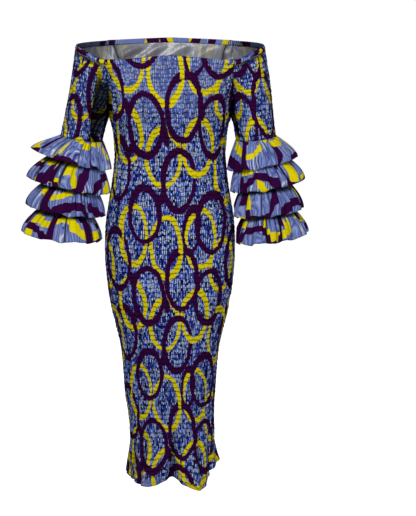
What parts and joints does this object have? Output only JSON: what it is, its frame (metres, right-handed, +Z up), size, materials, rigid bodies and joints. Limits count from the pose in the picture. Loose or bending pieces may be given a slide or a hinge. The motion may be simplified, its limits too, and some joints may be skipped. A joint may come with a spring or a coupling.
{
  "type": "ankara wax print dress",
  "caption": "Off-the-shoulder shirred midi dress in a ring-figured wax print, with tiered ruffle sleeves, in its hollow worn form.",
  "frame": {"origin": "middle of the elastic neckline, level with its side tips, where the wearer's upper arms and chest hold the dress up", "axes": "+Z up, the dress front faces -Y, +X to the right of someone looking at the front"},
  "size_m": [0.7126, 0.256, 1.1207],
  "materials": {
    "shirred_print": "shirred wax print cotton, blue hatched ground with purple and yellow rings",
    "ruffle_print": "flat wax print cotton, gathered",
    "casing_print": "folded wax print cotton over elastic"
  },
  "bodies": {
    "root": {"front": "shirred_print", "back": "shirred_print", "sleeve_left": "shirred_print", "sleeve_right": "shirred_print", "neck_casing": "casing_print", "ruffle_left_1": "ruffle_print", "ruffle_left_2": "ruffle_print", "ruffle_left_3": "ruffle_print", "ruffle_left_4": "ruffle_print", "ruffle_right_1": "ruffle_print", "ruffle_right_2": "ruffle_print", "ruffle_right_3": "ruffle_print", "ruffle_right_4": "ruffle_print"}
  },
  "joints": []
}
